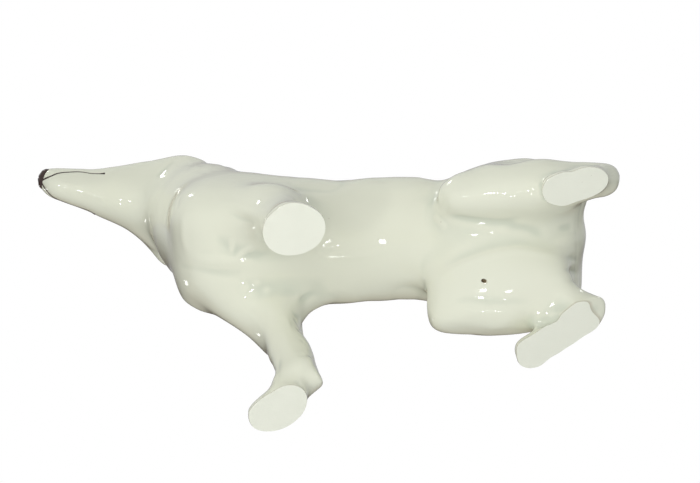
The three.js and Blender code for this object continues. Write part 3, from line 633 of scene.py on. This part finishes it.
blurred = spots
for turn in range(POOL_ROUNDS):
    blurred = neighbour_mean(blurred)
outwards = np.array([v.normal for v in skin.verts])
hollow = np.clip(((blurred - spots) * outwards).sum(1) / POOL_DEPTH, 0, 1)
pool = skin.verts.layers.float.new("pool")
for vert, depth in zip(skin.verts, hollow):
    vert[pool] = depth

# Feet: the soles are ground flat on a wet stone after firing, so the dog stands level and the bare
# porcelain shows there inside a thin line of glaze.
GLAZED, GROUND, VENTED, LUTED = 0, 1, 2, 3

cut = bmesh.ops.bisect_plane(skin, geom=[*skin.verts, *skin.edges, *skin.faces], dist=1e-7,
                             plane_co=(0, 0, 0), plane_no=(0, 0, 1), clear_inner=True)
sole_edges = [e for e in cut["geom_cut"] if isinstance(e, bmesh.types.BMEdge)]

# Vent: an oval hole through the right haunch, made before firing so that the hot air gets out.
VENT_DEPTH = 0.0018
VENT_SURROUND = 2.5
VENT_SPAN = 0.006
SOLE_EDGE = 0.002


def from_vent(place):
    """How far a place is from the vent's middle, seen from below: 1 on its rim."""
    return math.hypot((place.x - VENT_AT.x) / VENT_RADII.x, (place.y - VENT_AT.y) / VENT_RADII.y)


def at_vent(place, normal, reach):
    """Whether a place of the haunch's underside lies within that many radii of the vent's middle."""
    return from_vent(place) < reach and abs(place.z - vent_mouth.z) < VENT_SPAN and normal.z < 0


vent_faces = [f for f in skin.faces if at_vent(f.calc_center_median(), f.normal, VENT_SURROUND)]
vent_edges = list({e for f in vent_faces for e in f.edges})
bmesh.ops.subdivide_edges(skin, edges=vent_edges, cuts=2, use_grid_fill=True)
pierced = [v for v in skin.verts if at_vent(v.co, v.normal, 1)]
bmesh.ops.delete(skin, geom=pierced, context="VERTS")
vent_rim = [e for e in skin.edges if e.is_boundary and e.verts[0].co.z > SOLE_EDGE]
for vert in {v for e in vent_rim for v in e.verts}:
    vert.co.xy = VENT_AT + (vert.co.xy - VENT_AT) / from_vent(vert.co)
skin.normal_update()
side_normal = skin.verts.layers.float_vector.new("side_normal")
for vert in skin.verts:
    vert[side_normal] = vert.normal

for face in skin.faces:
    face.material_index = GLAZED
soles = bmesh.ops.edgeloop_fill(skin, edges=sole_edges, mat_nr=GROUND)["faces"]
for face in soles:
    face.normal_update()
    if face.normal.z > 0:
        face.normal_flip()
bore = bmesh.ops.extrude_edge_only(skin, edges=vent_rim)["geom"]
bore_verts = [v for v in bore if isinstance(v, bmesh.types.BMVert)]
bmesh.ops.translate(skin, verts=bore_verts, vec=(0, 0, VENT_DEPTH))
bore_edges = [e for e in bore if isinstance(e, bmesh.types.BMEdge)]
bore_end = bmesh.ops.edgeloop_fill(skin, edges=bore_edges)["faces"]
for face in [f for f in bore if isinstance(f, bmesh.types.BMFace)] + bore_end:
    face.material_index = VENTED
bmesh.ops.recalc_face_normals(skin, faces=skin.faces)

# Each face belongs to the casting under it.
casting_layer = skin.faces.layers.int.new("casting")
for face in skin.faces:
    face[casting_layer] = facet_node[cast_surface.find_nearest(face.calc_center_median())[2]]


# Glaze, fired at a high heat over the white body: glass-clear, a little cream, and deeper where it pools.
# Along the contours, where it is seen at a slant, a dark brown is painted in as shade. It has a slight
# ripple and a few iron specks, ends in a tan line at a sole, and is ochre at the vent.
CREAM, CLOUDED = (0.780, 0.785, 0.640, 1), (0.740, 0.752, 0.622, 1)
POOLED = (0.640, 0.668, 0.545, 1)
IRON = (0.36, 0.29, 0.20, 1)
TAN = (0.42, 0.36, 0.26, 1)
OCHRE = (0.36, 0.29, 0.16, 1)
# The dark brown painted shade along the contours, where the glaze is seen at a slant.
EDGE_SHADE_PAINT = (0.36, 0.29, 0.19, 1)
LIP_OUTER, LIP_INNER = 0.0018, 0.0010


def join(tree, node, values):
    """Sets a node's inputs, by name or number, to values or to other nodes' outputs."""
    for socket, value in values.items():
        if isinstance(value, bpy.types.NodeSocket):
            tree.links.new(value, node.inputs[socket])
        else:
            node.inputs[socket].default_value = value


def add(tree, kind, values=(), **settings):
    """A new shader node with its settings, and with its inputs joined."""
    node = tree.nodes.new("ShaderNode" + kind)
    for setting, value in settings.items():
        setattr(node, setting, value)
    join(tree, node, dict(values))
    return node


def object_place(tree):
    return add(tree, "TexCoord").outputs["Object"]


def clouds(tree, place, scale, detail):
    return add(tree, "TexNoise", {"Vector": place, "Scale": scale, "Detail": detail}).outputs["Fac"]


def reckoned(tree, operation, *values):
    return add(tree, "Math", dict(enumerate(values)), operation=operation).outputs[0]


def between(tree, value, start, end, low=0.0, high=1.0, way="LINEAR"):
    """A value brought from the range of start and end to that of low and high, and kept in it."""
    span = {"Value": value, "From Min": start, "From Max": end, "To Min": low, "To Max": high}
    return add(tree, "MapRange", span, interpolation_type=way).outputs[0]


def mixed(tree, share, first, second):
    mix = add(tree, "Mix", {"Factor": share, "A": first, "B": second}, data_type="RGBA")
    return mix.outputs["Result"]


def effect(name, output):
    """An empty node group with a scale and one output: the group, its scaled place and its end."""
    group = bpy.data.node_groups.new(name, "ShaderNodeTree")
    group.interface.new_socket("Scale", in_out="INPUT", socket_type="NodeSocketFloat").default_value = 1.0
    group.interface.new_socket(output, in_out="OUTPUT", socket_type="NodeSocketFloat")
    start = group.nodes.new("NodeGroupInput")
    scaled = add(group, "VectorMath", {0: object_place(group), "Scale": start.outputs["Scale"]},
                 operation="SCALE")
    return group, scaled.outputs[0], group.nodes.new("NodeGroupOutput")


ripple, place, end = effect("glaze_ripple", "Height")
faint = reckoned(ripple, "MULTIPLY", clouds(ripple, place, 480.0, 1.0), 0.16)
join(ripple, end, {"Height": reckoned(ripple, "ADD", clouds(ripple, place, 110.0, 2.0), faint)})

specks, place, end = effect("iron_specks", "Mask")
grains = add(specks, "TexVoronoi", {"Vector": place, "Scale": 150.0})
drawn = add(specks, "SeparateColor", {"Color": grains.outputs["Color"]}).outputs[0]
few = reckoned(specks, "GREATER_THAN", drawn, 0.94)
dot = between(specks, grains.outputs["Distance"], 0.035, 0.02)
join(specks, end, {"Mask": reckoned(specks, "MULTIPLY", few, dot)})


def new_finish(name):
    """A new material, its node tree and its main shader."""
    finish = bpy.data.materials.new(name)
    finish.use_nodes = True
    return finish, finish.node_tree, finish.node_tree.nodes["Principled BSDF"]


def speckled(tree, under, scale, colour):
    iron = add(tree, "Group", {"Scale": scale}, node_tree=specks)
    return mixed(tree, iron.outputs["Mask"], under, colour)


def bump(tree, height, strength, depth):
    return add(tree, "Bump", {"Strength": strength, "Distance": depth, "Height": height}).outputs[0]


def rippled(tree, scale, strength, depth):
    waves = add(tree, "Group", {"Scale": scale}, node_tree=ripple)
    return bump(tree, waves.outputs["Height"], strength, depth)


glaze, tree, shader = new_finish("glaze")
place = object_place(tree)
cloud = clouds(tree, place, 28.0, 3.0)
pooled = add(tree, "Attribute", attribute_name="pool").outputs["Fac"]
tint = mixed(tree, pooled, mixed(tree, cloud, CREAM, CLOUDED), POOLED)
tint = speckled(tree, tint, 1.0, IRON)
above_table = add(tree, "SeparateXYZ", {0: place}).outputs["Z"]
tint = mixed(tree, between(tree, above_table, 0.0009, 0.0001, high=0.55), tint, TAN)
off_vent = add(tree, "VectorMath", {0: place, 1: (*VENT_AT, vent_mouth.z)}, operation="DISTANCE")
tint = mixed(tree, between(tree, off_vent.outputs["Value"], LIP_OUTER, LIP_INNER, high=0.75), tint, OCHRE)
# Painted shade: the colour turns dark brown along the contours, where the surface turns away from the view.
slant_for_painted_shade = add(tree, "LayerWeight", {"Blend": 0.5}).outputs["Facing"]
tint = mixed(tree, between(tree, slant_for_painted_shade, 0.76, 1.0, high=0.6, way="SMOOTHSTEP"), tint, EDGE_SHADE_PAINT)
join(tree, shader, {"Base Color": tint, "Roughness": between(tree, cloud, 0.0, 1.0, 0.045, 0.085),
                    "Normal": rippled(tree, 1.0, 0.22, 0.0006)})

# Bare porcelain, where the soles are ground: matt, dense and sugary, with the stone's fine scratches.
BARE, STAINED = (0.790, 0.800, 0.690, 1), (0.745, 0.755, 0.648, 1)
SUGAR = (0.66, 0.65, 0.55, 1)
BARE_IRON = (0.34, 0.28, 0.20, 1)
STROKE_TURN, STROKE_SCALE = (0, 0, 0.5), (90.0, 2600.0, 1.0)

bare, tree, shader = new_finish("ground_porcelain")
place = object_place(tree)
tint = mixed(tree, clouds(tree, place, 60.0, 4.0), BARE, STAINED)
tint = mixed(tree, between(tree, clouds(tree, place, 1400.0, 2.0), 0.62, 0.8, high=0.35), tint, SUGAR)
tint = speckled(tree, tint, 1.6, BARE_IRON)
strokes = add(tree, "Mapping", {"Vector": place, "Rotation": STROKE_TURN, "Scale": STROKE_SCALE})
scratches = clouds(tree, strokes.outputs[0], 1.0, 2.0)
join(tree, shader, {"Base Color": tint, "Roughness": 0.8, "Normal": bump(tree, scratches, 0.35, 0.00008)})

# The vent's bore: glaze ran into its mouth and fired ochre, and deeper in it the colour darkens as a painted
# shade of the hollow.
MOUTH, BORE_SHADE = (0.42, 0.33, 0.17, 1), (0.20, 0.15, 0.08, 1)

bore_with_shade, tree, shader = new_finish("vent_bore_painted_shade")
height = add(tree, "SeparateXYZ", {0: object_place(tree)}).outputs["Z"]
# Painted shade: darker the deeper the bore goes into the hollow.
depth = between(tree, height, vent_mouth.z - 0.0002, vent_mouth.z + 0.0012)
join(tree, shader, {"Base Color": mixed(tree, depth, MOUTH, BORE_SHADE), "Roughness": 0.6})

# The nine castings, each a closed piece of the one skin. They are luted to each other with slip.
LUTING_DEPTH = 0.003


def casting_skin(index):
    """One casting's share of the skin, closed inside by the face that is luted to its neighbour."""
    bm = skin.copy()
    layer = bm.faces.layers.int["casting"]
    bmesh.ops.delete(bm, geom=[f for f in bm.faces if f[layer] != index], context="FACES")
    normal_at = bm.verts.layers.float_vector["side_normal"]
    rim = [e for e in bm.edges if e.is_boundary]
    wall = bmesh.ops.extrude_edge_only(bm, edges=rim)["geom"]
    for vert in (v for v in wall if isinstance(v, bmesh.types.BMVert)):
        vert.co -= vert[normal_at] * LUTING_DEPTH
    inner = [e for e in wall if isinstance(e, bmesh.types.BMEdge)]
    caps = bmesh.ops.edgeloop_fill(bm, edges=inner)["faces"]
    for face in [f for f in wall if isinstance(f, bmesh.types.BMFace)] + caps:
        face.material_index = LUTED
    bmesh.ops.poke(bm, faces=caps)
    bmesh.ops.recalc_face_normals(bm, faces=bm.faces)
    return bm


def with_skin_normals(mesh):
    """Gives the piece the whole skin's normals, so no seam shows, and flat ones where it is cut."""
    corner_vert = np.empty(len(mesh.loops), int)
    mesh.loops.foreach_get("vertex_index", corner_vert)
    skin_normals = np.empty(len(mesh.vertices) * 3)
    mesh.attributes["side_normal"].data.foreach_get("vector", skin_normals)
    face_normals = np.empty(len(mesh.polygons) * 3)
    mesh.polygons.foreach_get("normal", face_normals)
    corners = np.empty(len(mesh.polygons), int)
    mesh.polygons.foreach_get("loop_total", corners)
    finish = np.empty(len(mesh.polygons), int)
    mesh.polygons.foreach_get("material_index", finish)
    flat = np.repeat(finish != GLAZED, corners)
    normals = np.where(flat[:, None], np.repeat(face_normals.reshape(-1, 3), corners, axis=0),
                       skin_normals.reshape(-1, 3)[corner_vert])
    mesh.polygons.foreach_set("use_smooth", np.ones(len(mesh.polygons), bool))
    mesh.normals_split_custom_set(normals.tolist())


for index, name in enumerate(node_names):
    piece = link_mesh("glazed_" + name, casting_skin(index))
    with_skin_normals(piece.data)
    for material in (glaze, bare, bore_with_shade, bare):
        piece.data.materials.append(material)
    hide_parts(name)
    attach(piece, "root")

# Nose leather: painted dark brown over the modelled nose and fired again, with two nostrils and a
# groove between them. It is a little flattened on top.
NOSE_SIZE = (0.0038, 0.0050, 0.0040)
NOSE_AHEAD, NOSE_LEFT, NOSE_ABOVE = 95, 0.7, -7.5
NOSE_SUNK = 0.0028
NOSTRIL_AT = (-0.0027, 0.0020, 0.0002)
NOSTRIL_SIZE = 0.0009
GROOVE_WIDTH, GROOVE_DEPTH = 0.0004, 0.00035
FLAT_ABOVE, FLATTENED = 0.0024, 0.3
DARK_BROWN, WORN_BROWN = (0.020, 0.012, 0.011, 1), (0.075, 0.040, 0.034, 1)

enamel, tree, shader = new_finish("brown_enamel")
brushed = clouds(tree, object_place(tree), 420.0, 3.0)
join(tree, shader, {"Base Color": mixed(tree, brushed, DARK_BROWN, WORN_BROWN), "Roughness": 0.12,
                    "Normal": rippled(tree, 2.5, 0.3, 0.0003)})


def finished(piece, material):
    piece.data.materials.append(material)
    piece.data.polygons.foreach_set("use_smooth", [True] * len(piece.data.polygons))
    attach(piece, "root")


backwards = HEAD_TURN @ Vector((1, 0, 0))
nose_tip = surface.ray_cast(on_head(NOSE_AHEAD, NOSE_LEFT, NOSE_ABOVE), backwards)[0]
nose = bmesh.new()
bmesh.ops.create_uvsphere(nose, u_segments=56, v_segments=40, radius=1)
bmesh.ops.scale(nose, verts=nose.verts, vec=NOSE_SIZE)
for vert in nose.verts:
    for side in (-1, 1):
        nostril = Vector((NOSTRIL_AT[0], side * NOSTRIL_AT[1], NOSTRIL_AT[2]))
        vert.co.x += NOSTRIL_SIZE * math.exp(-((vert.co - nostril).length / NOSTRIL_SIZE) ** 2)
    groove = math.exp(-(vert.co.y / GROOVE_WIDTH) ** 2) * max(0, -vert.co.x / NOSE_SIZE[0])
    vert.co.x += GROOVE_DEPTH * groove
    vert.co.z = min(vert.co.z, FLAT_ABOVE + FLATTENED * (vert.co.z - FLAT_ABOVE))
nose_place = Matrix.Translation(nose_tip + backwards * NOSE_SUNK) @ HEAD_TURN.to_4x4()
bmesh.ops.transform(nose, verts=nose.verts, matrix=nose_place)
finished(link_mesh("nose", nose), enamel)

# Lips: one brush line of the same brown along each side of the muzzle, from under the nose to a small
# dot at the corner of the mouth. The brush is full at first and thins out.
LINE_RADIUS = 0.00046
LINE_SUNK = 0.00028
BRUSH_FULL, BRUSH_SPENT = 1.25, 0.4
DOT_SWELL, DOT_POINTS = 0.7, 2


def brush_line(name, points, dotted=True):
    places, normals = on_skin(points)
    curve = bpy.data.curves.new(name, "CURVE")
    curve.dimensions = "3D"
    curve.bevel_depth = LINE_RADIUS
    curve.bevel_resolution = 4
    curve.use_fill_caps = True
    spline = curve.splines.new("POLY")
    spline.points.add(len(places) - 1)
    for n, (point, spot, normal) in enumerate(zip(spline.points, places, normals)):
        point.co = (*(spot - normal * LINE_SUNK), 1)
        point.radius = BRUSH_FULL - BRUSH_SPENT * n / len(places)
        if dotted:
            point.radius += DOT_SWELL * max(0, 1 - (len(places) - 1 - n) / DOT_POINTS)
    holder = bpy.data.objects.new(name + "_path", curve)
    scene.collection.objects.link(holder)
    piece = bpy.data.objects.new(name, applied(holder))
    scene.collection.objects.link(piece)
    finished(piece, enamel)


for name, line in lips.items():
    brush_line(name + "_lip_line", line)

# Eyes: a small ball between modelled lids, painted with a brown iris and a black pupil, and one brush
# line along the upper lid. The paint goes by the angle from the pupil's middle, in radians.
EYEBALL = 0.0034
EYE_SUNK = 0.0023
EYE_AHEAD = 0.12
PUPIL, INNER_IRIS, OUTER_IRIS = (0.010, 0.008, 0.008, 1), (0.115, 0.050, 0.022, 1), (0.150, 0.070, 0.030, 1)
OUTLINE, WHITE = (0.022, 0.013, 0.011, 1), (0.74, 0.75, 0.63, 1)
EYE_PAINT = [(0.24, PUPIL), (0.28, INNER_IRIS), (0.50, OUTER_IRIS),
             (0.56, OUTLINE), (0.63, OUTLINE), (0.67, WHITE)]


def banded(tree, value, bands):
    """The colour at a value, from bands that each have the place where they start and a colour."""
    ramp = add(tree, "ValToRGB", {"Fac": value})
    stops = ramp.color_ramp.elements
    for stop, (position, colour) in zip(stops, bands):
        stop.position, stop.color = position, colour
    for position, colour in bands[2:]:
        stops.new(position).color = colour
    return ramp.outputs["Color"]


painted, tree, shader = new_finish("painted_eye")
ring = add(tree, "Attribute", attribute_name="from_pupil").outputs["Fac"]
join(tree, shader, {"Base Color": banded(tree, ring, EYE_PAINT), "Roughness": 0.06,
                    "Normal": rippled(tree, 2.0, 0.15, 0.0003)})

for name, (place, normal, forwards, upwards) in eyes.items():
    middle = surface.find_nearest(place)[0] - normal * EYE_SUNK
    eye = bmesh.new()
    bmesh.ops.create_uvsphere(eye, u_segments=40, v_segments=32, radius=EYEBALL)
    bmesh.ops.translate(eye, verts=eye.verts, vec=middle)
    from_pupil = eye.verts.layers.float.new("from_pupil")
    gaze = (normal + forwards * EYE_AHEAD).normalized()
    for vert in eye.verts:
        vert[from_pupil] = (vert.co - middle).normalized().angle(gaze)
    finished(link_mesh(name + "_eye", eye), painted)
    lid = lid_arc(eyes[name], range(0, 181, 20), EYE_LENGTH * 0.95, EYE_HEIGHT * 0.9)
    brush_line(name + "_lid_line", lid, dotted=False)


# Studio: a plain pale table top, which fades into a white backdrop. The camera looks up through it, so
# the table shows only from above, and the glaze mirrors it only there.
TABLE_HALF = 6.0
TABLE_PAINT = (0.86, 0.86, 0.85, 1)
BACKDROP = (1, 1, 0.995, 1)
FADE_START, FADE_END = 0.15, 0.6
FADE_LEAST = 0.35
BACKDROP_LIT, BACKDROP_SEEN = 0.58, 0.35

paint, tree, paint_shader = new_finish("table_paint")
join(tree, paint_shader, {"Base Color": TABLE_PAINT, "Roughness": 0.6})
off_middle = add(tree, "VectorMath", {0: object_place(tree)}, operation="LENGTH").outputs["Value"]
faded = between(tree, off_middle, FADE_START, FADE_END, FADE_LEAST, way="SMOOTHSTEP")
ray = add(tree, "LightPath").outputs
glow = reckoned(tree, "MULTIPLY_ADD", ray["Is Camera Ray"], BACKDROP_SEEN, BACKDROP_LIT)
backdrop = add(tree, "Emission", {"Color": BACKDROP, "Strength": glow})
table_top = add(tree, "MixShader", {0: faded, 1: paint_shader.outputs[0], 2: backdrop.outputs[0]})
see_through = add(tree, "BsdfTransparent").outputs[0]


def mirrored_above(tree, ray):
    """1 for a mirrored ray that hasn't come through the table, and 0 for any other."""
    not_through = reckoned(tree, "LESS_THAN", ray["Transparent Depth"], 0.5)
    return reckoned(tree, "MULTIPLY", ray["Is Glossy Ray"], not_through)


seen = reckoned(tree, "MAXIMUM", ray["Is Camera Ray"], mirrored_above(tree, ray))
front = reckoned(tree, "SUBTRACT", 1.0, add(tree, "NewGeometry").outputs["Backfacing"])
shown = reckoned(tree, "MULTIPLY", front, seen)
one_sided = add(tree, "MixShader", {0: shown, 1: see_through, 2: table_top.outputs[0]})
join(tree, tree.nodes["Material Output"], {"Surface": one_sided.outputs[0]})

table = bmesh.new()
bmesh.ops.create_grid(table, x_segments=1, y_segments=1, size=TABLE_HALF)
floor = link_mesh("table_top", table)
floor.data.materials.append(paint)

# The surround is pale, a little dimmer above than below. High up on the dog's right side it is dark and
# then brown, where the workbench stands, and the glaze mirrors that along the contours. The camera sees
# plain white instead.
BELOW, ABOVE = 0.58, 0.50
PALE, SHADE, BENCH = (0.96, 0.98, 1.0, 1), (0.05, 0.025, 0.015, 1), (0.62, 0.50, 0.35, 1)
BENCH_SIDE = [(0.0, PALE), (0.12, SHADE), (0.28, SHADE), (0.46, BENCH)]
WHITE_LOW, WHITE_HIGH = 0.93, 1.0

world = bpy.data.worlds.new("surround")
scene.world = world
world.use_nodes = True
tree = world.node_tree
towards = add(tree, "TexCoord").outputs["Generated"]
height = add(tree, "SeparateXYZ", {0: towards}).outputs["Z"]
beside = add(tree, "VectorMath", {0: towards, 1: down}, operation="DOT_PRODUCT").outputs["Value"]
overhead = between(tree, height, 0.0, 0.4, way="SMOOTHSTEP")
ambient = tree.nodes["Background"]
join(tree, ambient, {"Color": mixed(tree, overhead, PALE, banded(tree, beside, BENCH_SIDE)),
                     "Strength": between(tree, height, -0.5, 0.5, BELOW, ABOVE)})
whiteness = between(tree, height, 0.3, 0.6, WHITE_LOW, WHITE_HIGH)
white = add(tree, "Background", {"Color": (1, 1, 1, 1), "Strength": whiteness})
seen = add(tree, "LightPath").outputs["Is Camera Ray"]
surround = add(tree, "MixShader", {0: seen, 1: ambient.outputs[0], 2: white.outputs[0]})
join(tree, tree.nodes["World Output"], {"Surface": surround.outputs[0]})

# Lamps: small ones that the glaze mirrors as highlights, below on the belly and above on the coat, and
# soft ones that light the dog and that it doesn't mirror. Each has its direction from the dog, distance,
# width and power.
LAMP_AIM = Vector((0, 0, 0.08))
SMALL_LAMPS = {
    "belly_lamp": (-look + down * 0.60 - right * 0.21, 1.1, 0.07, 0.5),
    "belly_lamp_2": (-look + down * 0.19 - right * 0.12, 1.1, 0.05, 0.3),
    "belly_lamp_3": (-look + down * 0.16 - right * 0.45, 1.1, 0.08, 0.9),
    "spark_lamp": ((-0.5, -0.8, 1.2), 1.2, 0.09, 0.5),
    "spark_lamp_2": ((-0.9, 0.5, 0.7), 1.2, 0.12, 0.25),
    "spark_lamp_3": ((0.8, -0.6, 0.8), 1.2, 0.14, 0.7),
}
SOFT_LAMPS = {
    "front_lamp": (-look + up * 0.14 - right * 0.2, 0.55, 0.35, 1.08),
    "key_lamp": ((-0.5, -0.8, 1.2), 1.2, 0.6, 5.5),
    "fill_lamp": ((0.7, 0.8, 0.8), 1.2, 0.6, 3.5),
    "sky_lamp": (look, 1.2, 0.35, 2.5),
}


def lamp(name, towards, distance, width, power):
    """A square softbox that looks at the dog's middle from the given direction."""
    light = bpy.data.lights.new(name, "AREA")
    light.size = width
    light.energy = power
    holder = bpy.data.objects.new(name, light)
    direction = Vector(towards).normalized()
    holder.location = LAMP_AIM + direction * distance
    holder.rotation_euler = direction.to_track_quat("Z", "Y").to_euler()
    scene.collection.objects.link(holder)
    return holder


for name, setup in SMALL_LAMPS.items():
    lamp(name, *setup)
for name, setup in SOFT_LAMPS.items():
    soft = lamp(name, *setup)
    soft.visible_camera = False
    soft.visible_glossy = False


# Windows of the studio, which show only as the glaze mirrors them, in views from above the table. Each
# has its direction from the dog, width and height.
WINDOW_DISTANCE = 1.2
WINDOW_GLOW = 9.0
WINDOWS = {
    "left_window": ((-0.45, -0.85, 0.75), 0.22, 0.30),
    "right_window": ((0.25, 0.95, 0.80), 0.22, 0.30),
    "front_window": ((-1.0, 0.10, 0.70), 0.16, 0.24),
    "back_window": ((0.95, -0.35, 0.85), 0.16, 0.24),
}

daylight, tree, plain_shader = new_finish("window_glow")
tree.nodes.remove(plain_shader)
mirrored = mirrored_above(tree, add(tree, "LightPath").outputs)
see_through = add(tree, "BsdfTransparent").outputs[0]
glow = add(tree, "Emission", {"Color": (1, 1, 1, 1), "Strength": WINDOW_GLOW}).outputs[0]
pane_shader = add(tree, "MixShader", {0: mirrored, 1: see_through, 2: glow})
join(tree, tree.nodes["Material Output"], {"Surface": pane_shader.outputs[0]})

for name, (towards, wide, tall) in WINDOWS.items():
    direction = Vector(towards).normalized()
    turned = direction.to_track_quat("Z", "Y").to_matrix().to_4x4()
    pane = bmesh.new()
    bmesh.ops.create_grid(pane, x_segments=1, y_segments=1, size=0.5)
    bmesh.ops.scale(pane, verts=pane.verts, vec=(wide, tall, 1))
    bmesh.ops.transform(pane, verts=pane.verts,
                        matrix=Matrix.Translation(direction * WINDOW_DISTANCE) @ turned)
    window = link_mesh(name, pane)
    window.data.materials.append(daylight)

scene.view_settings.view_transform = "Standard"
bpy.context.view_layer.update()
